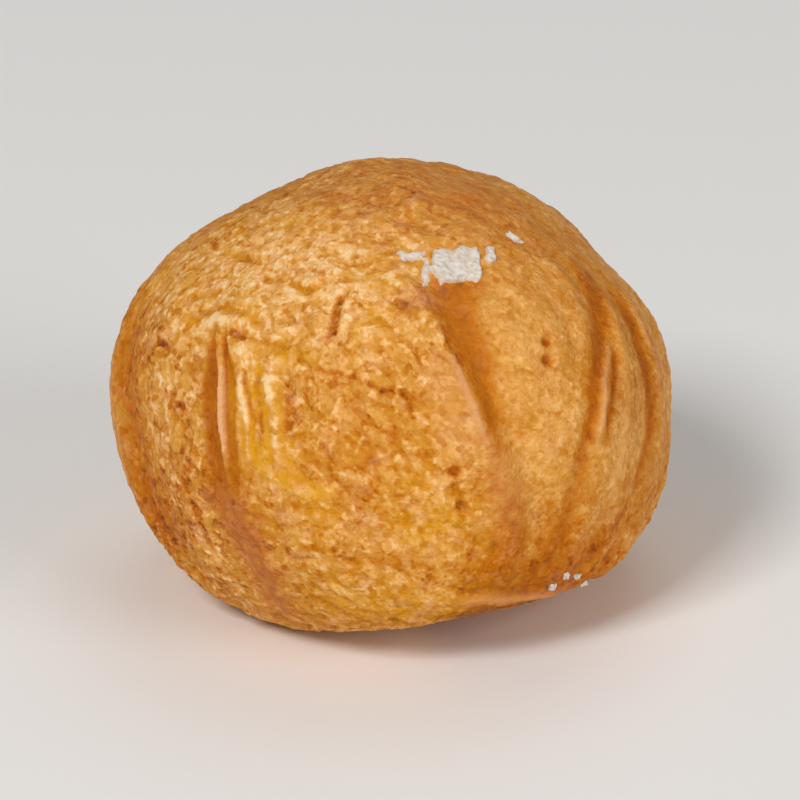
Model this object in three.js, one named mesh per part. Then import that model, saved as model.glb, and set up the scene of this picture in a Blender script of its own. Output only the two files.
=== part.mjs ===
// A cream puff: one round choux bun piped from a star nozzle, with a smear of its cream on the shoulder.
// Millimetres, +Z up. The bun stands on its flat foot at z = 0, and its front faces -Y.

import * as THREE from 'three';
import { ImprovedNoise } from 'three/addons/math/ImprovedNoise.js';
import { mergeVertices } from 'three/addons/utils/BufferGeometryUtils.js';

const { clamp, degToRad, lerp, seededRandom, smoothstep } = THREE.MathUtils;

// The bun without its relief: an oval plan, and a side profile that is fuller below the waist than above it.
const WIDTH = 62;
const DEPTH = 59;
const WAIST_HEIGHT = 20;
const CROWN_HEIGHT = 26;
const KEEL_DEPTH = 23;
const CROWN_FULLNESS = 2.1;
const BELLY_FULLNESS = 2.6;
const MEAN_RADIUS = (WIDTH + DEPTH) / 4;

// The foot: a flat patch baked on the tray, with three straight edges. Beyond each edge, at its turn from the
// front and its distance off the middle, the underside lifts by an angle, most of all to the front right.
const FOOT_ROUNDING = 1.2;
const FOOT_EDGES = [
  { turn: 32, distance: 7, lift: 18 },
  { turn: 160, distance: 7, lift: 4 },
  { turn: -80, distance: 7, lift: 4 },
];

// The piped mound leaned back and to the left as it rose, and its ribs follow that leaning axis.
const PIPING_LEAN_BACK = degToRad(26);
const PIPING_LEAN_LEFT = degToRad(3);

// Ribs of the star nozzle that still show, each between two gutters. The turn is about the piping axis,
// in degrees from the front towards +X, and a gutter lies GUTTER_OFFSET half widths off its rib.
const FRONT_RIBS = [
  { turn: -92, rise: 0.55, halfWidth: 1.7 },
  { turn: -77, rise: 0.6, halfWidth: 1.7 },
  { turn: -53.5, rise: 0.4, halfWidth: 2.2 },
  { turn: -36, rise: 0.9, halfWidth: 1.2 },
  { turn: 48.5, rise: 0.65, halfWidth: 1.25 },
  { turn: 59.5, rise: 0.65, halfWidth: 1.5 },
  { turn: 75.5, rise: 0.65, halfWidth: 1.8 },
];
const BACK_RIBS = { count: 12, first: 95, last: 254, stray: 3, rise: 0.6, halfWidth: 1.6, seed: 31 };
const RIB_TOP = [degToRad(52), degToRad(72)];
const RIB_FOOT = [degToRad(126), degToRad(142)];
const GUTTER_SHARE = 0.45;
const GUTTER_OFFSET = 2.2;

// The broad ridge in front: above its root it slants to the left, and a groove runs along its right flank.
const RIDGE = { turn: degToRad(27), root: degToRad(118), slant: 0.42, rise: 0.85, halfWidth: 1.5 };
const RIDGE_GROOVE = { offset: 2.8, depth: 0.75, halfWidth: 1.6 };
const RIDGE_TOP = [degToRad(56), degToRad(68)];

// Broad swells and hollows of the crust: turn and drop about the piping axis, reach in degrees, rise in mm.
const SWELLS = [
  { turn: -6, drop: 99, reach: 24, rise: 0.8 },
  { turn: 74, drop: 54, reach: 32, rise: -2.8 },
  { turn: 82, drop: 112, reach: 22, rise: -1.9 },
  { turn: -76, drop: 114, reach: 26, rise: -1.3 },
  { turn: -88, drop: 36, reach: 20, rise: -1.6 },
  { turn: 38, drop: 84, reach: 16, rise: 0.5 },
  { turn: 150, drop: 80, reach: 32, rise: 0.9 },
  { turn: -140, drop: 104, reach: 26, rise: -0.8 },
];

// Uneven rising: soft lumps all over, and a craggy crumple on the crown and in the burst panel in front.
const LUMP = { rise: 0.9, perRadius: 2.1, shift: 4.7 };
const CRUMPLE = { depth: 0.6, perRadius: 4.6, shift: 11.3, creaseWidth: 0.14 };
const BURST = { turn: degToRad(-8), drop: degToRad(84), reach: degToRad(34) };
const CROWN_REACH = degToRad(62);

// The smear of cream on the right shoulder: its rim is ragged by a few lobes, each a share of the half sizes.
const CREAM = { turn: degToRad(16.5), drop: degToRad(61.5), halfWidth: 5.2, halfLength: 2.4 };
const CREAM_LOBES = [
  { count: 3, share: 0.16, start: 1 },
  { count: 5, share: 0.1, start: 0.4 },
];
const CREAM_RIM = 0.35;
const CREAM_DOME = 0.75;
const CREAM_GAP = 0.3;

// Mesh fineness: columns round an axis and rings along it, and how near two points count as one.
const BUN_COLUMNS = 144;
const BUN_RINGS = 41;
const CREAM_COLUMNS = 48;
const CREAM_RINGS = 10;
const WELD = 1e-3;

const up = new THREE.Vector3(0, 0, 1);
const middle = new THREE.Vector3(0, 0, WAIST_HEIGHT);
const pipingAxis = new THREE.Vector3(-Math.tan(PIPING_LEAN_LEFT), Math.tan(PIPING_LEAN_BACK), 1).normalize();
const toPiping = new THREE.Quaternion().setFromUnitVectors(pipingAxis, up);
const fromPiping = toPiping.clone().invert();
const underside = [{ turn: 0, distance: 0, lift: 0 }, ...FOOT_EDGES].map(({ turn, distance, lift }) => {
  return { way: directionAt(degToRad(turn), Math.PI / 2), distance, slope: Math.tan(degToRad(lift)) };
});
const noise = new ImprovedNoise();

/** Unit direction at a turn from the front towards +X and a drop from straight up. */
function directionAt(turn, drop) {
  const across = Math.sin(drop);
  return new THREE.Vector3(across * Math.sin(turn), -across * Math.cos(turn), Math.cos(drop));
}

/** Turn and drop of a direction about the leaning piping axis. */
function pipingAngles(direction) {
  const leaning = direction.clone().applyQuaternion(toPiping);
  return { turn: Math.atan2(leaning.x, -leaning.y), drop: Math.acos(clamp(leaning.z, -1, 1)) };
}

/** A hump one unit high that dies away beyond the given half width. */
function hump(distance, halfWidth) {
  return Math.exp(-((distance / halfWidth) ** 2));
}

/** An angle brought into the range from -PI to PI. */
function wrapAngle(angle) {
  return Math.atan2(Math.sin(angle), Math.cos(angle));
}

/** Perlin noise on the sphere of directions, whose features are about a radius / perRadius across. */
function unevenness(direction, { perRadius, shift }) {
  const at = direction.clone().multiplyScalar(perRadius).addScalar(shift);
  return noise.noise(at.x, at.y, at.z);
}

/** Radius of the plain bun along a direction, before any relief. */
function bodyRadius(direction) {
  const rising = direction.z >= 0;
  const fullness = rising ? CROWN_FULLNESS : BELLY_FULLNESS;
  const plan = Math.hypot(direction.x / (WIDTH / 2), direction.y / (DEPTH / 2));
  const profile = Math.abs(direction.z) / (rising ? CROWN_HEIGHT : KEEL_DEPTH);
  return (plan ** fullness + profile ** fullness) ** (-1 / fullness);
}

/** The ribs seen in front, and the ribs behind, which keep the same spacing with a seeded stray. */
function nozzleRibs() {
  const behind = Array.from({ length: BACK_RIBS.count }, (_, index) => {
    const even = lerp(BACK_RIBS.first, BACK_RIBS.last, index / (BACK_RIBS.count - 1));
    const stray = BACK_RIBS.stray * (2 * seededRandom(BACK_RIBS.seed + index) - 1);
    return { turn: even + stray, rise: BACK_RIBS.rise, halfWidth: BACK_RIBS.halfWidth };
  });
  return [...FRONT_RIBS, ...behind].map((rib) => ({ ...rib, turn: degToRad(rib.turn) }));
}

const ribs = nozzleRibs();

/** Relief of the ribs: a rounded crest between two shallow gutters, fading out at crown and foot. */
function ribRelief(turn, drop) {
  const girth = MEAN_RADIUS * Math.sin(drop);
  let relief = 0;
  for (const { turn: ribTurn, rise, halfWidth } of ribs) {
    const away = Math.abs(girth * wrapAngle(turn - ribTurn));
    const gutter = hump(away - GUTTER_OFFSET * halfWidth, halfWidth);
    relief += rise * (hump(away, halfWidth) - GUTTER_SHARE * gutter);
  }
  return relief * smoothstep(drop, ...RIB_TOP) * (1 - smoothstep(drop, ...RIB_FOOT));
}

/** Relief of the broad front ridge and of the groove on its right. */
function ridgeRelief(turn, drop) {
  const ridgeTurn = RIDGE.turn - RIDGE.slant * Math.max(RIDGE.root - drop, 0);
  const away = MEAN_RADIUS * Math.sin(drop) * wrapAngle(turn - ridgeTurn);
  const crest = RIDGE.rise * hump(away, RIDGE.halfWidth);
  const groove = RIDGE_GROOVE.depth * hump(away - RIDGE_GROOVE.offset, RIDGE_GROOVE.halfWidth);
  return (crest - groove) * smoothstep(drop, ...RIDGE_TOP) * (1 - smoothstep(drop, ...RIB_FOOT));
}

/** Broad swells and hollows. */
function swellRelief(direction) {
  return SWELLS.reduce((relief, { turn, drop, reach, rise }) => {
    const place = directionAt(degToRad(turn), degToRad(drop)).applyQuaternion(fromPiping);
    return relief + rise * hump(direction.angleTo(place), degToRad(reach));
  }, 0);
}

/** Soft lumps everywhere, and creased crumples where the crust burst as it rose. */
function crustRelief(direction, turn, drop) {
  const burst = hump(directionAt(turn, drop).angleTo(directionAt(BURST.turn, BURST.drop)), BURST.reach);
  const crown = hump(direction.angleTo(up), CROWN_REACH);
  const crease = hump(unevenness(direction, CRUMPLE), CRUMPLE.creaseWidth);
  const lump = LUMP.rise * unevenness(direction, LUMP);
  return lump - CRUMPLE.depth * Math.max(burst, crown) * crease;
}

/** The smaller of two radii, with the corner between them rounded over the given width. */
function roundedMinimum(first, second, rounding) {
  const overlap = Math.max(rounding - Math.abs(first - second), 0) / rounding;
  return Math.min(first, second) - (rounding * overlap * overlap) / 4;
}

/** Radius cut off by the flat foot and by the underside that lifts beyond its edges. */
function footedRadius(radius, direction) {
  let cut = Infinity;
  for (const { way, distance, slope } of underside) {
    const descent = slope * direction.dot(way) - direction.z;
    if (descent > 0) {
      cut = Math.min(cut, (WAIST_HEIGHT + slope * distance) / descent);
    }
  }
  return roundedMinimum(radius, cut, FOOT_ROUNDING);
}

/** Point on the crust along a direction from the middle of the bun, lifted off it by the given height. */
function crustPoint(direction, lift = 0) {
  const { turn, drop } = pipingAngles(direction);
  const relief = swellRelief(direction) + crustRelief(direction, turn, drop);
  const piping = ribRelief(turn, drop) + ridgeRelief(turn, drop);
  const radius = footedRadius(bodyRadius(direction) + relief + piping, direction);
  return direction.clone().multiplyScalar(radius + lift).add(middle);
}

/** A closed sphere whose every vertex, given by its turn, drop and unit position, is moved by place(). */
function mouldedSphere(columns, rings, place) {
  const sphere = new THREE.SphereGeometry(1, columns, rings);
  const positions = sphere.getAttribute('position');
  const unit = new THREE.Vector3();
  for (let index = 0; index < positions.count; index += 1) {
    unit.fromBufferAttribute(positions, index);
    const moved = place(Math.atan2(unit.x, unit.z), Math.acos(clamp(unit.y, -1, 1)), unit);
    positions.setXYZ(index, moved.x, moved.y, moved.z);
  }
  sphere.deleteAttribute('normal');
  sphere.deleteAttribute('uv');
  const closed = mergeVertices(sphere, WELD);
  closed.computeVertexNormals();
  return closed;
}

/** The bun: its columns run along the ribs. */
function chouxShell() {
  return mouldedSphere(BUN_COLUMNS, BUN_RINGS, (turn, drop) => {
    return crustPoint(directionAt(turn, drop).applyQuaternion(fromPiping));
  });
}

/** The smear: a ragged flat drop whose underside follows the crust, just clear of it. */
function creamSmear() {
  return mouldedSphere(CREAM_COLUMNS, CREAM_RINGS, (angle, _drop, unit) => {
    const ragged = CREAM_LOBES.reduce((size, { count, share, start }) => {
      return size + share * Math.sin(count * angle + start);
    }, 1);
    const aside = (CREAM.halfWidth * ragged * unit.x) / (MEAN_RADIUS * Math.sin(CREAM.drop));
    const down = (CREAM.halfLength * ragged * unit.z) / MEAN_RADIUS;
    const height = unit.y < -WELD ? 0 : CREAM_RIM + CREAM_DOME * unit.y;
    const place = directionAt(CREAM.turn + aside, CREAM.drop + down).applyQuaternion(fromPiping);
    return crustPoint(place, CREAM_GAP + height);
  });
}

const crust = new THREE.MeshStandardMaterial({ color: 0xd6923f, roughness: 0.6, metalness: 0 });
const cream = new THREE.MeshStandardMaterial({ color: 0xf1e7d8, roughness: 0.45, metalness: 0 });

const bun = new THREE.Mesh(chouxShell(), crust);
bun.name = 'choux_shell';
const smear = new THREE.Mesh(creamSmear(), cream);
smear.name = 'cream_smear';

const creamPuff = new THREE.Group();
creamPuff.add(bun, smear);

// The origin is the middle of the foot's level, below the middle of the bun's plan.
const extent = new THREE.Box3().setFromObject(creamPuff);
const planMiddle = extent.getCenter(new THREE.Vector3());
creamPuff.position.set(-planMiddle.x, -planMiddle.y, -extent.min.z);

export default creamPuff;
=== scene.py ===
import math
import random

import bmesh
import bpy
import numpy as np
from mathutils import Matrix, Vector, noise
from mathutils.bvhtree import BVHTree


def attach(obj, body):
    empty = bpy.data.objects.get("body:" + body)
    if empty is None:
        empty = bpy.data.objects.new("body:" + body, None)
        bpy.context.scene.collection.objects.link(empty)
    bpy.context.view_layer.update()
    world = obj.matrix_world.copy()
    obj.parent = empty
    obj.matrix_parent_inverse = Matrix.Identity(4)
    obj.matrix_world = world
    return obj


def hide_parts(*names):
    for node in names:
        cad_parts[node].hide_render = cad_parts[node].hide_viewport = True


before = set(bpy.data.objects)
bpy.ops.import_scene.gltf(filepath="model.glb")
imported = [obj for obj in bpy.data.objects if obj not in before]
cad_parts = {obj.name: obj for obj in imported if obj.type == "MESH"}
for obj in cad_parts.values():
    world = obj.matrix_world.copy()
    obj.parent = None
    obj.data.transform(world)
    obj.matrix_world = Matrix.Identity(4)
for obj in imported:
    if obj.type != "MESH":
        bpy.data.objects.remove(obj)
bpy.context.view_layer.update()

# The choux crust: one puffed bun of flour, butter and egg, piped from a star nozzle and baked golden brown.
# Its skin set while the inside still rose, so it is ribbed where it held and wrinkled where it burst open.
# Sizes are in mm. A place on the bun is a turn and a drop, in degrees about the axis that it was piped on.
MM = 0.001
MIDDLE = np.array([0.5, -0.13, 20.0])
MEAN_RADIUS = 30.0
LEAN_BACK = math.radians(26)
LEAN_LEFT = math.radians(3)
WELD = 0.001
SKIN_CELLS = 128
FRONT_PULL = Vector((0, -0.23, 0.1))
SKIN_PASSES = 22
RIB_PASSES = 160

piping_axis = Vector((-math.tan(LEAN_LEFT), math.tan(LEAN_BACK), 1)).normalized()
to_piping = np.array(piping_axis.rotation_difference(Vector((0, 0, 1))).to_matrix())


def merged_copy(node):
    """A CAD node's surface with its loose triangles joined."""
    surface = bmesh.new()
    surface.from_mesh(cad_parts[node].data)
    bmesh.ops.remove_doubles(surface, verts=surface.verts, dist=WELD * MM)
    return surface


def blown_up_cube(cells):
    """A cube cut into equal cells on each side and blown up into a unit ball of nearly even quads."""
    ball = bmesh.new()
    bmesh.ops.create_cube(ball, size=2)
    bmesh.ops.subdivide_edges(ball, edges=ball.edges, cuts=cells - 1, use_grid_fill=True)
    for vert in ball.verts:
        vert.co = Vector([math.tan(along * math.pi / 4) for along in vert.co]).normalized()
    return ball


def laid_on(ball, surface):
    """Moves each point of a unit ball out from the bun's middle to a surface, closer together in front."""
    tree = BVHTree.FromBMesh(surface)
    middle = Vector(MIDDLE * MM)
    for vert in ball.verts:
        vert.co = tree.ray_cast(middle, (vert.co + FRONT_PULL).normalized())[0]


def as_piece(shape, name):
    """A finished bmesh as a smooth shaded object at the origin."""
    mesh = bpy.data.meshes.new(name)
    shape.to_mesh(mesh)
    shape.free()
    mesh.shade_smooth()
    piece = bpy.data.objects.new(name, mesh)
    bpy.context.scene.collection.objects.link(piece)
    return piece


crust_form = merged_copy("choux_shell")
skin = blown_up_cube(SKIN_CELLS)
laid_on(skin, crust_form)
crust_form.free()
for _ in range(SKIN_PASSES):
    bmesh.ops.smooth_vert(
        skin, verts=skin.verts, factor=0.5, use_axis_x=True, use_axis_y=True, use_axis_z=True
    )
crust = as_piece(skin, "crust")

count = len(crust.data.vertices)
spots = np.empty(count * 3)
crust.data.vertices.foreach_get("co", spots)
spots = spots.reshape(-1, 3) / MM
joined = np.empty(len(crust.data.edges) * 2, dtype=np.int32)
crust.data.edges.foreach_get("vertices", joined)
one_end, other_end = joined.reshape(-1, 2).T
links = np.bincount(joined, minlength=count)


def evened(values, passes):
    """Values on the skin, each spread a little over its neighbours at every pass."""
    for _ in range(passes):
        beside = np.bincount(one_end, values[other_end], count)
        beside += np.bincount(other_end, values[one_end], count)
        values = (values + beside / links) / 2
    return values


# Every spot's turn from the front towards +X and its drop from the top, about the leaning piping axis.
# The ribs as piped are what stands proud of the evened bun.
radius = np.linalg.norm(spots - MIDDLE, axis=1)
outward = (spots - MIDDLE) / radius[:, None]
leaning = outward @ to_piping.T
turn = np.degrees(np.arctan2(leaning[:, 0], -leaning[:, 1]))
drop = np.degrees(np.arccos(np.clip(leaning[:, 2], -1, 1)))
girth = MEAN_RADIUS * np.sin(np.radians(drop))
ribbing = radius - evened(radius, RIB_PASSES)


def hump(distance, half_width):
    """A bump one unit high that dies away beyond its half width."""
    return np.exp(-((distance / half_width) ** 2))


def ease(value, start, end):
    """A smooth step from 0 at start to 1 at end."""
    share = np.clip((value - start) / (end - start), 0, 1)
    return share * share * (3 - 2 * share)


def reach(start, full, fading, gone):
    """1 between two drops, easing to 0 above and below them."""
    return ease(drop, start, full) * (1 - ease(drop, fading, gone))


def spanning(start, full, fading, gone):
    """1 between two turns, easing to 0 on both sides of them."""
    return ease(turn, start, full) * (1 - ease(turn, fading, gone))


def across(line_turn):
    """Distance in mm from each spot to a line that runs down the bun at the given turn."""
    return girth * np.radians((turn - line_turn + 180) % 360 - 180)


def below(line_drop):
    """Distance in mm that each spot lies below the given drop."""
    return MEAN_RADIUS * np.radians(drop - line_drop)


def down_line(*places):
    """Distance in mm from each spot to a line down the bun through (drop, turn) places."""
    drops, turns = zip(*places)
    return across(np.interp(drop, drops, turns))


def round_line(*places):
    """Distance in mm that each spot lies below a line round the bun through (turn, drop) places."""
    turns, drops = zip(*places)
    return below(np.interp(turn, turns, drops))


def patch(at_turn, at_drop, half_width, half_height):
    """A soft oval patch round a place on the bun, with half sizes in mm."""
    return np.exp(-((across(at_turn) / half_width) ** 2) - (below(at_drop) / half_height) ** 2)


def patches(places):
    """The sum of soft oval patches."""
    return sum(patch(*place) for place in places)


def toned(areas):
    """The sum of soft oval patches, each given as its share and then its place and half sizes."""
    return sum(share * patch(*place) for share, *place in areas)


def summed(*forms):
    """The sum of forms on the skin, each given as its share and then the form."""
    return sum(share * form for share, form in forms)


def noise_at(points, size, shift):
    """Smooth noise about -1 to 1 at points in mm, with blobs of that size. Each shift gives another one."""
    return np.array([noise.noise(point) for point in map(Vector, points / size + shift)])


# Where the skin burst as the bun rose: the front panel, the shoulder to its left, and a panel behind.
# Each patch has its turn, its drop and its half sizes.
BURST_PANELS = (
    (-8, 97, 14, 18),
    (-40, 60, 24, 11),
    (152, 84, 14, 15),
)
CROWN_SPREAD = 42
ragged = noise_at(spots, 6, 3.1) + 0.5 * noise_at(spots, 2.5, 8.4)
burst = ease(patches(BURST_PANELS) + 0.22 * ragged, 0.1, 0.75)
crown = hump(np.degrees(np.arccos(np.clip(outward[:, 2], -1, 1))), CROWN_SPREAD)

# The sharp rib on the left: a thin crest between two gutters that runs out below into a smooth brown band.
off_rib = down_line((76, -38.4), (84, -36.7), (90, -37.2), (100, -37.4))
off_band = down_line(
    (100, -37.6), (106, -38.8), (111, -39.8), (116, -38.8), (125, -37.6), (131, -38), (140, -42)
)
sharp_crest = hump(off_rib, 0.32) * reach(73, 80, 95, 104)
spread = ease(drop, 71, 88)
left_gutter = ease(-off_rib, 0.18, 0.65) * (1 - ease(-off_rib, 0.5 + 1.7 * spread, 0.9 + 2.7 * spread))
right_gutter = ease(off_rib, 0.18, 0.65) * (1 - ease(off_rib, 0.5 + 1.0 * spread, 0.9 + 1.5 * spread))
sharp_gutters = (left_gutter + right_gutter) * reach(71, 80, 98, 110)
satin_band = hump(off_band + 0.4 * ragged, 2.8) * reach(99, 108, 134, 148)
near_rib = hump(off_rib - 1, 5)


def stroke(top_turn, top_drop, low_turn, low_drop, half_width):
    """A thin stroke down the bun from one place to another, tapering at both ends."""
    off = down_line((top_drop, top_turn), (low_drop, low_turn)) + 0.4 * ragged
    return hump(off, half_width) * reach(top_drop - 2, top_drop + 2, low_drop - 4, low_drop + 2)


def crease(*places, half_width, wobble=0.3):
    """A wavering line round the bun through (turn, drop) places, fading out at both ends."""
    first, last = places[0][0], places[-1][0]
    ends = spanning(first - 1.5, first + 1.5, last - 1.5, last + 1.5)
    return hump(round_line(*places) + wobble * ragged, half_width) * ends


def drawn_out(off, width, at_drop, length, shift):
    """Noise about -1 to 1 drawn out down the bun into streaks of that width and length in mm."""
    return noise_at(np.column_stack([off / width, below(at_drop) / length, 0 * drop]), 1, shift)


# Right of the sharp rib the dough was drawn out into thin yellow streaks with slots between them, below a
# slanting crease and above a flaky edge. One more flake and slot edge the brown band, and a slot the ridge.
# A stroke has the turn and drop of its top, the turn and drop of its low end, and its half width.
PALE_STREAKS = (
    (-33, 84, -30.8, 97, 0.4),
    (-25.3, 88, -24.6, 105, 0.55),
    (-29.5, 90, -29, 101, 0.25),
)
PALE_FLAKES = (
    (-26, 86.3, 1.6, 0.4),
    (-27.6, 82.6, 1.0, 0.4),
)
BAND_FLAKE = (-47.8, 108, -50.4, 125, 0.45)
SLOTS = (
    (-28.3, 85, -28, 100, 0.5),
    (-31.3, 84, -29.8, 96, 0.35),
    (-21, 86, -21.6, 99, 0.6),
    (-49.9, 108, -51.2, 122, 0.4),
    (11.8, 77.5, 15.2, 86, 0.45),
)
pale_streaks = sum(stroke(*streak) for streak in PALE_STREAKS)
pale_streaks += patches(PALE_FLAKES) + 0.5 * stroke(*BAND_FLAKE)
slots = sum(stroke(*slot) for slot in SLOTS)
streaked = hump(off_rib - 4.4 + 0.8 * ragged, 3.0) * reach(74, 86, 98, 108)
streak_lines = drawn_out(off_rib, 0.6, 90, 6, 12.6)
slant_crease = crease((-36, 75.5), (-29.8, 77.3), (-22.5, 79.8), half_width=0.45)
flaky_edge = crease(
    (-29.5, 103.5), (-23.5, 107.5), (-19, 109.7), (-13, 109), half_width=0.7, wobble=0.6
)

# Above the sharp rib the skin is pleated into arches: pale flakes round its top, and rows of open dashes.
ARCHES = (
    ((-49, 75.5), (-44.8, 71.5), (-40.6, 70.1), (-34.6, 70.6), (-29, 73.5)),
    ((-53, 70), (-48.2, 67.5), (-43.7, 66), (-34, 67.2)),
    ((-46, 55.6), (-34, 58.6)),
    ((-26, 62.8), (-19.1, 67.2), (-15, 65.4)),
    ((-56, 80.3), (-51.2, 78.5), (-48.5, 75.5)),
)
TOP_FLAKES = (
    (-39.6, 72.6, 1.5, 0.7),
    (-42.9, 78.2, 0.9, 0.8),
    (-33.1, 79.8, 1.0, 0.7),
    (-22.5, 83.0, 1.1, 0.8),
)
broken = ease(noise_at(spots, 1.8, 77.7), -0.45, 0.05)
arch_dashes = sum(crease(*arch, half_width=0.45) for arch in ARCHES) * broken
top_flakes = patches(TOP_FLAKES)

# The broad ridge in front, whose crest slants to the left as it climbs, and the smooth groove on its right,
# which is widest above.
off_ridge = down_line((72, 7.5), (79, 10.5), (86, 13.5), (99, 17.6), (118, 25.5))
above = np.maximum(97 - drop, 0)
ridge_crest = hump(off_ridge, 0.5) * reach(80, 88, 97, 104)
ridge_flank = hump(off_ridge + 2.2, 1.8) * reach(82, 90, 98, 108)
ridge_groove = hump(off_ridge - 1.7 - 0.07 * above, 1.2 + 0.07 * above) * reach(61, 68, 95, 106)
ridge_foot = hump(off_ridge - 0.2, 2.2) * reach(97, 106, 112, 126)
near_ridge_foot = hump(off_ridge - 1, 5) * ease(drop, 94, 106)

# The ribs of the right side, which draw together above: a wide pale one, a short thin crest in front of it
# and a third along the rim, with gutters beside them.
off_wide_rib = down_line(
    (61, 68), (66, 66), (72.7, 61), (77.6, 59.2), (84.4, 57.4), (100, 55.3), (125, 51)
)
off_thin_rib = down_line((83, 53), (88.8, 48.4), (93.8, 47), (99, 45.8), (103, 44.9))
off_rim_rib = down_line((64, 77), (72.4, 74.6), (77, 73.4), (88.4, 74.3), (102, 76), (125, 74))
off_first_gutter = down_line(
    (64, 60), (70, 57.3), (76, 54.6), (82.3, 49.4), (88.7, 45.8), (103, 42.4), (125, 42.4)
)
off_second_gutter = down_line((83, 55.5), (88.6, 53.2), (95, 50), (98, 48.7), (104, 47.5))
off_third_gutter = down_line(
    (64, 72), (74.6, 69.8), (81.7, 68), (93.8, 70.2), (101, 70.6), (113, 67.6), (128, 54)
)
rib_wear = np.clip(0.8 + 0.8 * noise_at(spots, 7, 19.4), 0.2, 1.2)
wide_rib = hump(off_wide_rib, 0.9) * reach(58, 70, 106, 124) * rib_wear
thin_rib = hump(off_thin_rib + 0.15 * ragged, 0.4) * reach(80, 87, 97, 104)
rim_rib = hump(off_rim_rib + 0.15 * ragged, 0.5) * reach(62, 74, 102, 120) * rib_wear
right_crests = 0.7 * wide_rib + thin_rib + rim_rib
first_width = 1.9 - 0.9 * ease(drop, 74, 94) + 0.7 * ease(drop, 98, 115)
right_gutters = hump(off_first_gutter, first_width) * reach(58, 70, 112, 136)
right_gutters += hump(off_second_gutter, 0.65) * reach(80, 86, 97, 105)
right_gutters += hump(off_third_gutter, 1.2) * reach(62, 76, 114, 136)
right_gutters *= (1 - 0.8 * np.clip(right_crests, 0, 1)) * (1 - 0.45 * ease(drop, 96, 112))
right_side = spanning(38, 46, 84, 94) * reach(58, 72, 108, 130)

# The left side: a broad gutter along the rim, a pale edge behind it, and a lacy panel before the sharp rib.
rim_gutter = hump(across(-70.5), 2.0) * reach(62, 76, 112, 126)
rim_band = hump(across(-69), 3.6) * reach(62, 76, 112, 126)
rim_edge = hump(across(-84), 1.6) * reach(70, 80, 104, 116)
lacy = spanning(-63, -59, -47, -44) * reach(68, 80, 116, 126)

# The lip of the foot at the front right, where the underside curls up from the baking tray.
lip_reach = spanning(12, 22, 48, 62)
off_lip = round_line((18, 137.2), (24, 136.6), (36, 137.5), (44, 136.8), (60, 134.5)) + 0.15 * ragged
foot_lip = hump(off_lip, 0.6) * lip_reach
lip_groove = hump(off_lip + 1.15, 0.5) * lip_reach
under_lip = ease(off_lip, 0.6, 1.6) * lip_reach
above_lip = spanning(10, 22, 66, 82) * reach(100, 112, 135, 137)
lip_streaks = drawn_out(across(30), 2.2, 110, 10, 5.2)

# Small pits where steam broke through the skin, each with its turn, its drop and its half width.
PITS = (
    (34.4, 80.9, 0.55),
    (33.7, 85.0, 0.6),
    (12.1, 106.8, 0.6),
    (12.4, 110.6, 0.7),
    (14.1, 114.4, 0.6),
    (-50.3, 87.6, 0.45),
    (-48.5, 90.3, 0.5),
    (-47.9, 94.0, 0.45),
    (-50.3, 106.4, 0.7),
    (-50.3, 112.0, 0.5),
    (-53.0, 78.4, 0.75),
    (2.7, 71.6, 0.55),
)
pits = np.clip(patches((pit_turn, pit_drop, size, size) for pit_turn, pit_drop, size in PITS), 0, 1)

# One short open crack with a raised brow on its right, and a long fold across the front.
off_notch = down_line((67.5, -9.6), (69, -10.8), (71, -11.4), (79.5, -12.6)) + 0.06 * ragged
notch = (1 - ease(np.abs(off_notch), 0.25, 0.7)) * reach(66.8, 68, 77.5, 79.5)
notch_brow = hump(off_notch - 1.1, 0.35) * reach(69, 70.5, 76, 79)
off_fold = round_line((-22, 82.2), (7, 92.9)) + 0.8 * ragged
fold_crease = hump(off_fold, 0.4) * spanning(-25, -19, 3, 8)

# Wrinkles: skin crumpled into small tilted facets with sharp edges, drawn out round the bun in arches and
# bent by a slow swirl, with folds and short open dashes between them.
RING_STRETCH = 1.3
ARCH_SLOPE = 0.45
ARCH_MIDDLE = -16
ARCH_ROUNDING = 8
SWIRL = 2.5
QUIVER = 0.65
FACET = 1.6
SMALL_FACET = 0.95
TILT_SEED = 7.3
TONE_SEED = 5.7


def facets_at(points, size, shift):
    """Skin crumpled into facets of about that size in mm: the height on each tilted facet and the distance
    to its edge, as shares of the size, and between them the facet's tone."""
    heights, tones, edges = [], [], []
    for point in map(Vector, points / size + shift):
        distances, centres = noise.voronoi(point)
        tilt = noise.cell_vector(TILT_SEED * centres[0]) - Vector((0.5, 0.5, 0.5))
        heights.append((point - centres[0]).dot(tilt))
        tones.append(noise.cell(TONE_SEED * centres[0]))
        edges.append(distances[1] - distances[0])
    return np.array(heights), np.array(tones), np.array(edges)


in_rings = leaning * radius[:, None]
arching = ARCH_SLOPE * np.hypot(in_rings[:, 0] - ARCH_MIDDLE, ARCH_ROUNDING)
in_rings[:, 2] = RING_STRETCH * (in_rings[:, 2] + arching)
swirl = np.column_stack([noise_at(spots, 8, shift) for shift in (0.4, 15.3, 33.8)])
quiver = np.column_stack([noise_at(spots, 1.8, shift) for shift in (40.1, 61.7, 83.2)])
flow = in_rings + SWIRL * swirl + QUIVER * quiver
facet_height, facet_tone, facet_edge = facets_at(flow, FACET, 13.7)
small_height, small_tone, _ = facets_at(flow, SMALL_FACET, 27.1)
folds = np.abs(noise_at(flow, 3.4, 1.7))
dashes = hump(noise_at(flow, 2.6, 31.9), 0.1) * ease(noise_at(spots, 3.0, 57.2), 0.05, 0.25)
crevices = hump(facet_edge, 0.09) * ease(noise_at(spots, 4.0, 71.3), -0.1, 0.3)
grains = noise_at(spots, 0.9, 5.5)

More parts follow.
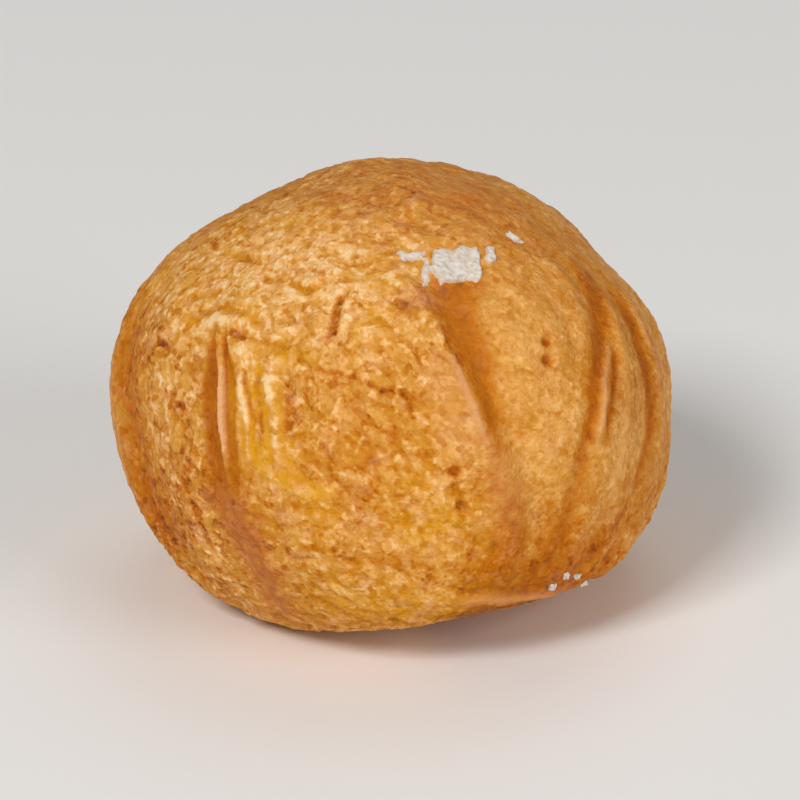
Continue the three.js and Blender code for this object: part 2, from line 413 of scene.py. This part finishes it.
# How rough the skin is, from 0 to about 1: smooth on crests and in gutters, calmer at the sides and behind.
CALM_AREAS = (
    (0.24, -4, 106, 13, 14),
    (0.14, -3, 124, 8, 5),
)
smooth_skin = summed(
    (0.75, satin_band),
    (0.3, ridge_foot),
    (0.7, right_gutters),
    (1, ridge_groove + ridge_crest + sharp_crest + sharp_gutters + right_crests + foot_lip),
)
smooth_skin = np.clip(smooth_skin, 0, 1)
calm = spanning(-120, -95, -70, -58) * (1 - ease(drop, 102, 120)) + spanning(14, 26, 90, 120)
rough = 0.66 - toned(CALM_AREAS) + summed(
    (0.14, burst),
    (0.15, lacy),
    (0.1, reach(108, 122, 150, 165)),
    (-0.3, calm),
    (-0.1, crown),
    (-0.06, above_lip),
    (-0.22, ease(np.abs(turn), 95, 130)),
)
rough *= (1 - 0.8 * smooth_skin) * (1 - 0.25 * streaked)

# The relief of all these forms, in mm out of the evened bun. It dies away at the foot, which lay flat.
relief = summed(
    (0.1, ribbing),
    (-1, ribbing * near_rib),
    (-0.85, ribbing * right_side),
    (-0.7, ribbing * near_ridge_foot),
    (0.3, sharp_crest),
    (-0.5, sharp_gutters),
    (0.2, pale_streaks),
    (-0.2, slots),
    (0.25, streaked * streak_lines),
    (-0.25, slant_crease),
    (0.3, flaky_edge),
    (-0.35, arch_dashes),
    (0.2, top_flakes),
    (0.15, ridge_crest),
    (-0.3, ridge_groove),
    (0.3, right_crests),
    (-0.32, right_gutters),
    (-0.25, rim_gutter),
    (0.3, foot_lip),
    (-0.35, lip_groove),
    (-0.65, pits),
    (-0.42, notch),
    (0.2, notch_brow),
    (-0.25, fold_crease),
    (0.48, rough * facet_height),
    (0.36, rough * small_height),
    (0.55, rough * (folds - 0.25)),
    (-0.2, rough * dashes),
    (-0.1, rough * crevices),
    (0.05, grains * (1 - 0.8 * smooth_skin)),
)
relief *= ease(spots[:, 2], 0.2, 2.5)

normals = np.empty(count * 3)
crust.data.vertex_normals.foreach_get("vector", normals)
spots += relief[:, None] * normals.reshape(-1, 3)
spots[:, 2] = np.maximum(spots[:, 2], 0)
crust.data.vertices.foreach_set("co", (spots * MM).ravel())
crust.data.update()

# How far the crust is baked, from pale at 0 over gold and orange to dark brown at 1, with painted shade
# and highlight in it. Gutters, tears and hollows are darker, partly their own colour and partly painted
# shade,
# crests are paler as a painted highlight, flakes are paler, and the oven left some areas more or less
# brown:
# how much, their turn, their drop and their half sizes. A few of these areas are painted light and shade.
GOLDEN = 0.45
DARKEST = 0.76
HOLLOW_PASSES = 16
BROWNED_AND_SHADED_AREAS = (
    (0.07, -53, 105, 4, 4),
    (-0.07, -53, 90, 4, 6),
    (0.06, -68, 112, 10, 10),
    (-0.14, -50, 120, 2.5, 4),
    # Painted light: these two make the upper left shoulder paler, as the light falls on it.
    (-0.09, -42, 62, 10, 7),
    (-0.07, -38, 46, 9, 6),
    (0.06, 8, 36, 12, 8),
    (-0.16, -13, 63, 12, 7),
    (-0.07, -8, 71, 8, 5),
    (0.22, 8.5, 71, 3.2, 1.9),
    (0.1, -6, 98, 9, 7),
    (-0.09, 7.8, 112, 5, 4),
    (-0.06, -3, 124, 8, 5),
    (-0.06, 36, 94, 5, 14),
    (-0.1, 45, 118, 8, 6),
    # Painted shade: a darker band above the foot lip.
    (0.16, 38, 128, 9, 4),
)
gutters = np.clip(sharp_gutters + ridge_groove + right_gutters, 0, 1)
torn = summed(
    (1, rough * dashes),
    (0.7, rough * crevices),
    (1, pits),
    (1, notch),
    (0.8, slant_crease),
    (0.4, fold_crease),
    (1.4, arch_dashes),
)
mottled = 0.12 * crown + 0.1 * reach(112, 124, 150, 165)
lip_shade_and_browning = 0.05 * ease(drop, 112, 122) + 0.14 * ease(drop, 124, 132) + 0.12 * lip_streaks
bake = GOLDEN + toned(BROWNED_AND_SHADED_AREAS) + summed(
    # Darker in the gutters, tears, pits and slots: partly their own colour, partly painted shade.
    (0.33, gutters),
    (0.32, np.clip(torn, 0, 1)),
    (0.28, pits),
    (0.28, slots),
    (-0.23, pale_streaks),
    (-0.25, streaked * streak_lines),
    (-0.12, flaky_edge),
    (-0.16, top_flakes),
    (-0.12, notch_brow),
    (0.2, sharp_crest * reach(70, 76, 79, 87)),
    (0.21, satin_band),
    (0.16, ridge_foot),
    (-0.03, ridge_flank),
    (-0.05, wide_rib),
    (0.03, right_side),
    # The band along the left rim gutter is darker, partly as painted shade.
    (0.22, rim_band),
    (-0.12, rim_edge),
    (0.04, lacy),
    (0.09, crown),
    (0.055, reach(104, 114, 150, 160)),
    (0.04, foot_lip),
    # Painted shade in the groove above the foot lip, and under it a brown underside with painted shadow.
    (0.4, lip_groove),
    (0.4, under_lip),
    # Darker towards the foot lip at the front right, partly as painted shade.
    (1, above_lip * lip_shade_and_browning),
    # Painted shade and highlight: darker in the hollows of the relief, paler on its crests.
    (-0.4, relief - evened(relief, HOLLOW_PASSES)),
    (0.14, rough * (facet_tone - 0.5)),
    (0.1, rough * (small_tone - 0.5)),
    (0.08, noise_at(spots, 9, 44.1)),
    (0.05, ragged),
    (1, mottled * noise_at(flow, 2.6, 66.1)),
)
# The underside below the lip may go darker still, for its painted shadow.
bake = np.minimum(bake, DARKEST + 0.14 * under_lip)

# Where the crust is yellow with egg: between the streaks, in the dashes and here and there where it burst.
EGG_AREAS = (
    (0.35, -24, 101, 2.5, 4),
    (0.5, -5, 137, 12, 4),
    (0.5, 7, 119, 4, 3),
)
egg = toned(EGG_AREAS) + summed(
    (1.5, streaked * ease(-streak_lines, -0.55, 0.15)),
    (-1.3, pale_streaks),
    (-0.8, slots),
    (0.5, flaky_edge),
    (0.7, arch_dashes),
    (0.4, rough * (dashes + crevices)),
    (0.3, burst * ease(noise_at(spots, 6, 90.7), -0.1, 0.4)),
)

# Where its crests are satin smooth, with a pale rosy highlight painted on them: a painted sheen.
RIDGE_TOP = (7, 70.5, 2, 1.2)
blush = summed(
    (0.3, patch(*RIDGE_TOP)),
    (1, hump(off_rib, 0.38) * reach(80, 87, 96, 104)),
    (0.5, ridge_crest),
    (0.2, ridge_flank),
    (0.15, ridge_foot),
    (0.45, thin_rib),
    (0.05, wide_rib),
    (0.4, rim_rib * (1 - ease(drop, 88, 100))),
    (0.15, satin_band * ease(drop, 104, 114)),
    (0.04, lacy),
    (0.12, crown),
    (0.35, foot_lip),
)


def paint(piece, name, values):
    """Keeps one value for each vertex of a piece under a name that its finish reads."""
    attribute = piece.data.attributes.new(name, "FLOAT", "POINT")
    attribute.data.foreach_set("value", np.clip(values, 0, 1).astype(np.float32))


paint(crust, "bake", bake)
paint(crust, "egg", egg)
paint(crust, "blush", blush)
paint(crust, "rough", rough)


class Wire:
    """A socket in a material. Sums and products of wires add Math nodes, so that masks read as formulas."""

    def __init__(self, tree, socket=None):
        self.tree = tree
        self.socket = socket

    def node(self, kind, settings=None, values=None, output=0):
        """A new node with its settings made first, then its sockets filled or linked; gives one output."""
        made = self.tree.nodes.new("ShaderNode" + kind)
        for name, value in (settings or {}).items():
            if name == "stops":
                ramp = made.color_ramp.elements
                while len(ramp) < len(value):
                    ramp.new(1)
                for element, (position, colour) in zip(ramp, value):
                    element.position = position
                    element.color = colour
            else:
                setattr(made, name, value)
        for name, value in (values or {}).items():
            if isinstance(value, Wire):
                self.tree.links.new(value.socket, made.inputs[name])
            else:
                made.inputs[name].default_value = value
        return Wire(self.tree, made.outputs[output] if made.outputs else None)

    def sibling(self, output):
        """Another output of the node that this wire comes from."""
        return Wire(self.tree, self.socket.node.outputs[output])

    def maths(self, operation, first, second):
        """A Math node on two wires or numbers."""
        return self.node("Math", {"operation": operation}, {0: first, 1: second})

    def __add__(self, other):
        return self.maths("ADD", self, other)

    def __radd__(self, other):
        return self.maths("ADD", other, self)

    def __sub__(self, other):
        return self.maths("SUBTRACT", self, other)

    def __rsub__(self, other):
        return self.maths("SUBTRACT", other, self)

    def __mul__(self, other):
        return self.maths("MULTIPLY", self, other)

    def __rmul__(self, other):
        return self.maths("MULTIPLY", other, self)

    def mixing(self, first, second):
        """Two colours mixed, with this wire as the share of the second."""
        settings = {"data_type": "RGBA", "blend_type": "MIX", "clamp_factor": True}
        return self.node("Mix", settings, {0: self, 6: first, 7: second}, output=2)

    def between(self, start, end):
        """This wire's value stretched from start..end to 0..1, easing at both ends."""
        settings = {"interpolation_type": "SMOOTHSTEP"}
        return self.node("MapRange", settings, {"Value": self, "From Min": start, "From Max": end})


def finish(name):
    """A new material: itself, a wire to add nodes from, and object coordinates in millimetres."""
    material = bpy.data.materials.new(name)
    material.use_nodes = True
    material.node_tree.nodes.clear()
    start = Wire(material.node_tree)
    place = start.node("TexCoord", output="Object")
    in_mm = start.node("VectorMath", {"operation": "SCALE"}, {0: place, "Scale": 1 / MM})
    return material, start, in_mm


def painted(start, name):
    """The values that were kept on the mesh under a name."""
    return start.node("Attribute", {"attribute_name": name}, output="Fac")


def speckle(start, place, size, detail=2.0, roughness=0.5):
    """Noise from about 0 to 1 with blobs about that size in mm."""
    values = {"Vector": place, "Scale": 1 / size, "Detail": detail, "Roughness": roughness}
    return start.node("TexNoise", values=values, output="Fac")


# The finish of the crust: matt and dry, mottled from pale to brown, chipped into fine flakes where it is
# rough, glazed yellow where egg shows, and satin on the crests, with a rosy highlight painted on them.
BAKING = (
    (0.00, (1.00, 0.69, 0.34, 1)),
    (0.25, (0.89, 0.445, 0.123, 1)),
    (0.45, (0.68, 0.281, 0.042, 1)),
    (0.65, (0.575, 0.156, 0.003, 1)),
    (0.85, (0.37, 0.080, 0.003, 1)),
    (1.00, (0.17, 0.036, 0.004, 1)),
)
EGG_YELLOW = (0.80, 0.36, 0.009, 1)
STRAW = (0.74, 0.35, 0.04, 1)
PINK_SHEEN = (0.88, 0.46, 0.26, 1)
MOTTLE_SIZE = 1.5
GRAIN_SIZE = 0.45
CHIP_SIZE = 0.65
FLAKE_SIZE = 1.0
SCORCH_SIZE = 1.3
TINT_SIZE = 1.8
SKIN_BUMP = 0.7

crust_finish, start, place = finish("baked_crust")
uneven = painted(start, "rough")
crests = painted(start, "blush")
mottle = speckle(start, place, MOTTLE_SIZE, detail=3.0, roughness=0.65)
grain = speckle(start, place, GRAIN_SIZE, roughness=0.6)
flakes = speckle(start, place, FLAKE_SIZE, detail=1.0).between(0.56, 0.66)
scorches = speckle(start, place, SCORCH_SIZE, detail=1.0).between(0.43, 0.35)
tint = speckle(start, place, TINT_SIZE)

chipping = {"Vector": place, "Scale": 1 / CHIP_SIZE}
chip = start.node("TexVoronoi", {"feature": "F1"}, chipping, output="Position")
chip_edge = start.node("TexVoronoi", {"feature": "DISTANCE_TO_EDGE"}, chipping, output="Distance")
chip_colour = chip.sibling("Color")
chip_tone = start.node("SeparateColor", values={"Color": chip_colour}, output="Red")
from_chip = start.node("VectorMath", {"operation": "SUBTRACT"}, {0: place, 1: chip})
chip_tilt = start.node("VectorMath", {"operation": "SUBTRACT"}, {0: chip_colour, 1: (0.5, 0.5, 0.5)})
tilting = {0: from_chip, 1: chip_tilt}
tilted = start.node("VectorMath", {"operation": "DOT_PRODUCT"}, tilting, output="Value")
chips = tilted * chip_edge.between(0, 0.45)

baked_and_shaded = painted(start, "bake") + 0.3 * (mottle - 0.5) + 0.28 * (grain - 0.5)
baked_and_shaded = baked_and_shaded + uneven * (0.24 * (chip_tone - 0.5) - 0.4 * chips + 0.32 * (scorches - flakes))
colour = start.node("ValToRGB", {"stops": BAKING}, {"Fac": baked_and_shaded}, output="Color")
straw_share = 0.65 * uneven * tint.between(0.52, 0.68)
egg_share = painted(start, "egg") * (0.3 + 0.3 * mottle + 0.6 * chip_tone)
# Painted sheen: the crests and some flecks of rough skin are mixed towards pink as a painted highlight.
sheen_share = (0.4 + 0.8 * mottle) * crests + 0.28 * uneven * tint.between(0.47, 0.32)
colour = straw_share.mixing(colour, STRAW)
colour = egg_share.mixing(colour, EGG_YELLOW)
colour = sheen_share.mixing(colour, PINK_SHEEN)
texture = 1.2 * uneven * chips + 0.3 * grain + 0.25 * mottle
skin_bump = start.node("Bump", values={"Strength": 0.9, "Distance": SKIN_BUMP * MM, "Height": texture})
shader = start.node(
    "BsdfPrincipled",
    values={
        "Base Color": colour,
        "Roughness": 0.5 + 0.2 * (grain - 0.5) + 0.2 * (mottle - 0.5),
        "Normal": skin_bump,
        "Specular IOR Level": 0.05,
        "Coat Weight": 0.02 + 0.25 * crests,
        "Coat Roughness": 0.3,
    },
)
start.node("OutputMaterial", values={"Surface": shader})
crust.data.materials.append(crust_finish)
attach(crust, "root")
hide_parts("choux_shell")

# The smear of cream on the right shoulder: whipped cream that was wiped on the crust and dried there.
# It is a thin brushed block with a straight top edge, a streak and a hanging strand at its left and a tail.
CREAM_TURN = 17.0
CREAM_DROP = 61.0
CREAM_FIELD = (17.0, 9.0)
CREAM_CELL = 0.11
CREAM_EDGE = -0.12
CREAM_THICKNESS = 0.7
CREAM_ROUNDING = 0.3
CREAM_RIM = 0.5
CREAM_RIM_WIDTH = 0.4
CREAM_FILM_WIDTH = 0.25
CREAM_SINK = 0.15
CREAM_DEPTH = 0.8
from_piping = Matrix(to_piping.tolist()).transposed()


def cream_cover(aside, down):
    """How far inside the smear a spot lies, in mm: its block, its streak, its strand and its tail."""
    ragged_edge = 0.5 * noise.noise(Vector((aside, down, 0.3)) / 1.3)
    ragged_edge += 0.18 * noise.noise(Vector((aside, down, 4.1)) / 0.5)

    def bar(at_aside, at_down, half_width, half_height, corner):
        """How far inside an upright bar with rounded corners the spot lies."""
        beyond_side = max(abs(aside - at_aside) - half_width + corner, 0)
        beyond_end = max(abs(down - at_down) - half_height + corner, 0)
        return corner - math.hypot(beyond_side, beyond_end)

    block = bar(0.35 - 0.2 * down, 0.0, 3.0, 2.6, 0.5)
    cut_corner = 0.8 * (aside + 2.2) + 0.6 * (2.2 - down)
    streak = bar(-4.2 + 0.3 * down, -1.7, 1.75, 0.85, 0.6)
    strand = bar(-3.2 - 0.1 * down, 0.1, 0.55, 2.7, 0.4)
    tail = bar(4.75 - 0.3 * down, -1.2, 0.8, 1.35, 0.5)
    return max(min(block, cut_corner), streak, strand, tail) + ragged_edge


crust_surface = bmesh.new()
crust_surface.from_mesh(crust.data)
crust_tree = BVHTree.FromBMesh(crust_surface)
crust_surface.free()


def on_crust(at_turn, at_drop):
    """The point of the crust, and the way out of the bun, at a turn and a drop in degrees."""
    across_way = math.sin(math.radians(at_drop))
    leaning_way = Vector(
        (
            across_way * math.sin(math.radians(at_turn)),
            -across_way * math.cos(math.radians(at_turn)),
            math.cos(math.radians(at_drop)),
        )
    )
    way = from_piping @ leaning_way
    return crust_tree.ray_cast(Vector(MIDDLE * MM), way)[0], way


smear = bmesh.new()
bmesh.ops.create_grid(
    smear,
    x_segments=round(CREAM_FIELD[0] / CREAM_CELL),
    y_segments=round(CREAM_FIELD[1] / CREAM_CELL),
    size=0.5,
    matrix=Matrix.Diagonal((*CREAM_FIELD, 1, 1)),
)
bare = [vert for vert in smear.verts if cream_cover(vert.co.x, vert.co.y) < CREAM_EDGE]
bmesh.ops.delete(smear, geom=bare, context="VERTS")
loose = [vert for vert in smear.verts if not vert.link_faces]
bmesh.ops.delete(smear, geom=loose, context="VERTS")

# The cream has a raised rim and brushed hollows inside it, and thins out to a film at its edge.
sunken = smear.verts.layers.float.new("sunken")
thin = smear.verts.layers.float.new("thin")
cream_girth = MEAN_RADIUS * math.sin(math.radians(CREAM_DROP))
for vert in smear.verts:
    aside, down = vert.co.x, vert.co.y
    inside = max(cream_cover(aside, down), 0)
    brushed = noise.noise(Vector(((aside + 0.9 * down) / 2.6, (down - 0.5 * aside) / 0.42, 2.2)))
    full = 1 - math.exp(-inside / CREAM_ROUNDING)
    rim = math.exp(-(((inside - CREAM_RIM) / CREAM_RIM_WIDTH) ** 2))
    hollow = 0.8 + 0.8 * noise.noise(Vector((aside, down, 9)) / 1.5)
    vert[thin] = math.exp(-inside / CREAM_FILM_WIDTH)
    vert[sunken] = (1 - rim) * min(inside, 1) * hollow
    lift = CREAM_THICKNESS * full * (0.8 + 0.2 * rim - 0.3 * vert[sunken] + 0.15 * brushed)
    at_turn = CREAM_TURN + math.degrees(aside / cream_girth)
    at_drop = CREAM_DROP + math.degrees(down / MEAN_RADIUS)
    point, way = on_crust(at_turn, at_drop)
    vert.co = point + way * (lift - CREAM_SINK) * MM
thickened = bmesh.ops.extrude_face_region(smear, geom=smear.faces)["geom"]
sunk = [part for part in thickened if isinstance(part, bmesh.types.BMVert)]
for vert in sunk:
    way = (vert.co - Vector(MIDDLE * MM)).normalized()
    vert.co -= way * CREAM_DEPTH * MM
bmesh.ops.recalc_face_normals(smear, faces=smear.faces)
cream = as_piece(smear, "cream")

CREAM_WHITE = (0.80, 0.74, 0.67, 1)
CREAM_SHADE = (0.50, 0.40, 0.30, 1)
CREAM_FILM = (0.72, 0.46, 0.24, 1)
CLOT_SIZE = 0.6
CREAM_BUMP = 0.2
cream_finish, start, place = finish("dried_cream")
clots = speckle(start, place, CLOT_SIZE, detail=3.0)
# Painted shade: the sunken middle of the smear is mixed towards grey. The clots speckle it grey too.
clots_and_shade = 0.6 * clots.between(0.6, 0.3) + 0.7 * painted(start, "sunken")
film = 0.7 * painted(start, "thin")
colour = clots_and_shade.mixing(CREAM_WHITE, CREAM_SHADE)
colour = film.mixing(colour, CREAM_FILM)
cream_bump = start.node("Bump", values={"Strength": 0.6, "Distance": CREAM_BUMP * MM, "Height": clots})
shader = start.node(
    "BsdfPrincipled",
    values={"Base Color": colour, "Roughness": 0.45 + 0.2 * clots, "Normal": cream_bump},
)
start.node("OutputMaterial", values={"Surface": shader})
cream.data.materials.append(cream_finish)
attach(cream, "root")
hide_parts("cream_smear")

# Flecks of the same cream: one beside the smear and a few specks low on the right, where the bun was set
# down. Each is a small lumpy drop pressed on the crust, half sunk in it: its turn, drop and half sizes.
FLECKS = (
    (40.0, 52.6, 1.0, 0.6),
    (46.8, 134.0, 0.65, 0.5),
    (48.9, 131.0, 0.5, 0.42),
    (55.6, 131.5, 0.42, 0.36),
    (62.0, 133.5, 0.5, 0.42),
)
FLECK_THICKNESS = 0.38
FLECK_LUMP = 0.4
FLECK_LUMPINESS = 0.8
fleck_random = random.Random(5)
flecks = bmesh.new()
for at_turn, at_drop, half_width, half_height in FLECKS:
    point, way = on_crust(at_turn, at_drop)
    facing = way.to_track_quat("Z", "Y").to_matrix().to_4x4()
    size = Matrix.Diagonal((half_width * MM, half_height * MM, FLECK_THICKNESS * MM, 1))
    spin = Matrix.Rotation(fleck_random.uniform(0, math.pi), 4, "Z")
    pressed = Matrix.Translation(point) @ facing @ spin @ size
    fleck = bmesh.ops.create_icosphere(flecks, subdivisions=3, radius=1, matrix=pressed)["verts"]
    for vert in fleck:
        lump = FLECK_LUMPINESS * noise.noise(vert.co / (FLECK_LUMP * MM))
        vert.co += (vert.co - point) * lump
fleck_piece = as_piece(flecks, "cream_flecks")
fleck_piece.data.materials.append(cream_finish)
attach(fleck_piece, "root")

# The floor: a plain pale sheet that the bun stands on.
# It is matt and much wider than the picture, so that no edge of it shows.
FLOOR_SIZE = 4.0
FLOOR_COLOUR = (0.93, 0.92, 0.90, 1)
sheet = bmesh.new()
bmesh.ops.create_grid(sheet, x_segments=1, y_segments=1, size=FLOOR_SIZE / 2)
floor = as_piece(sheet, "floor")
floor_finish, start, _ = finish("pale_floor")
shader = start.node("BsdfPrincipled", values={"Base Color": FLOOR_COLOUR, "Roughness": 0.6})
start.node("OutputMaterial", values={"Surface": shader})
floor.data.materials.append(floor_finish)

# Studio light: a broad soft key from the upper left in front, a fill from the right and a weak lamp from
# behind, in a pale room. Each is square and turned to the bun: its place and width in m, its power in W.
LIGHTS = (
    ("key", (-0.8, -1.1, 1.3), 0.6, 20.0),
    ("fill", (1.2, -0.9, 0.7), 0.9, 9.5),
    ("top", (0.2, 0.9, 1.5), 1.0, 3.6),
)
LIGHT_TARGET = Vector((0, 0, 0.02))
ROOM_COLOUR = (1.0, 0.98, 0.95, 1)
ROOM_STRENGTH = 0.18
for name, at, width, power in LIGHTS:
    lamp = bpy.data.lights.new(name, "AREA")
    lamp.size = width
    lamp.energy = power
    light = bpy.data.objects.new(name, lamp)
    light.location = at
    light.rotation_mode = "QUATERNION"
    light.rotation_quaternion = (LIGHT_TARGET - light.location).to_track_quat("-Z", "Y")
    bpy.context.scene.collection.objects.link(light)
room = bpy.data.worlds.new("pale_room")
room.use_nodes = True
room_light = room.node_tree.nodes["Background"].inputs
room_light["Color"].default_value = ROOM_COLOUR
room_light["Strength"].default_value = ROOM_STRENGTH
bpy.context.scene.world = room
bpy.context.scene.view_settings.view_transform = "Standard"

# The camera looks at the front of the bun from 24 degrees above the floor, through a long lens.
# Its distance, its target and the width of what it frames there are in m.
CAMERA_ELEVATION = math.radians(24)
CAMERA_DISTANCE = 0.6
CAMERA_TARGET = Vector((0.0010, 0.0074, 0.0167))
FRAME_WIDTH = 0.0877
SENSOR_WIDTH = 36
NEAREST = 0.01
lens = bpy.data.cameras.new("camera")
lens.sensor_width = SENSOR_WIDTH
lens.lens = SENSOR_WIDTH * CAMERA_DISTANCE / FRAME_WIDTH
lens.clip_start = NEAREST
camera = bpy.data.objects.new("camera", lens)
back = Vector((0, -math.cos(CAMERA_ELEVATION), math.sin(CAMERA_ELEVATION)))
camera.location = CAMERA_TARGET + CAMERA_DISTANCE * back
camera.rotation_mode = "QUATERNION"
camera.rotation_quaternion = (-back).to_track_quat("-Z", "Y")
bpy.context.scene.collection.objects.link(camera)
bpy.context.scene.camera = camera
